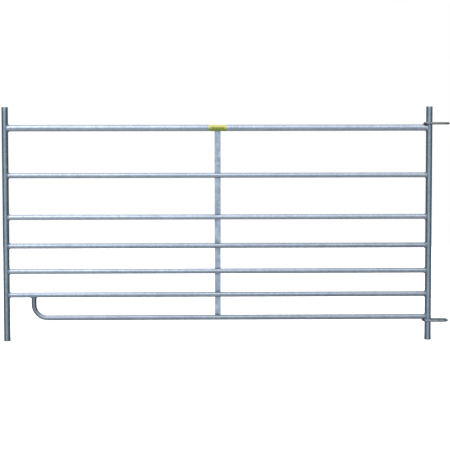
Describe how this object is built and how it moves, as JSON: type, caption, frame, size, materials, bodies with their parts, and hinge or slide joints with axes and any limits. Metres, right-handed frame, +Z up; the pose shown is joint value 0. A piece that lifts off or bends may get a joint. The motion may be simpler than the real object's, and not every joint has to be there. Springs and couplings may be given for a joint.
{
  "type": "livestock panel gate",
  "caption": "Galvanised tube panel with end posts, horizontal rails, a flat centre stay and coupling rings at one end, linked end to end as a pen or gate for sheep and other small stock.",
  "frame": {"origin": "on the ground, under the middle of the overall length, on the centre plane of the posts", "axes": "+Z up, +X along the rails towards the end with the coupling rings, -Y is the front and the flat stay is at the back"},
  "size_m": [1.903, 0.0488, 1],
  "materials": {
    "galvanised_tube": "hot-dip galvanised, dull grey-blue with a soft sheen",
    "galvanised_flat": "hot-dip galvanised, paler and mottled",
    "galvanised_bar": "hot-dip galvanised, darker grey",
    "galvanised_weld": "weld bead under zinc",
    "label_film": "yellow-green adhesive film with plain dark bars"
  },
  "bodies": {
    "root": {"left_post": "galvanised_tube", "right_post": "galvanised_tube", "top_rail": "galvanised_tube", "second_rail": "galvanised_tube", "third_rail": "galvanised_tube", "fourth_rail": "galvanised_tube", "fifth_rail": "galvanised_tube", "sixth_rail": "galvanised_tube", "bottom_rail": "galvanised_tube", "centre_stay": "galvanised_flat", "upper_ring": "galvanised_bar", "lower_ring": "galvanised_bar", "rail_label": "label_film", "left_post_welds": "galvanised_weld", "right_post_welds": "galvanised_weld", "leg_weld": "galvanised_weld", "stay_welds": "galvanised_weld", "upper_ring_welds": "galvanised_weld", "lower_ring_welds": "galvanised_weld"}
  },
  "joints": []
}
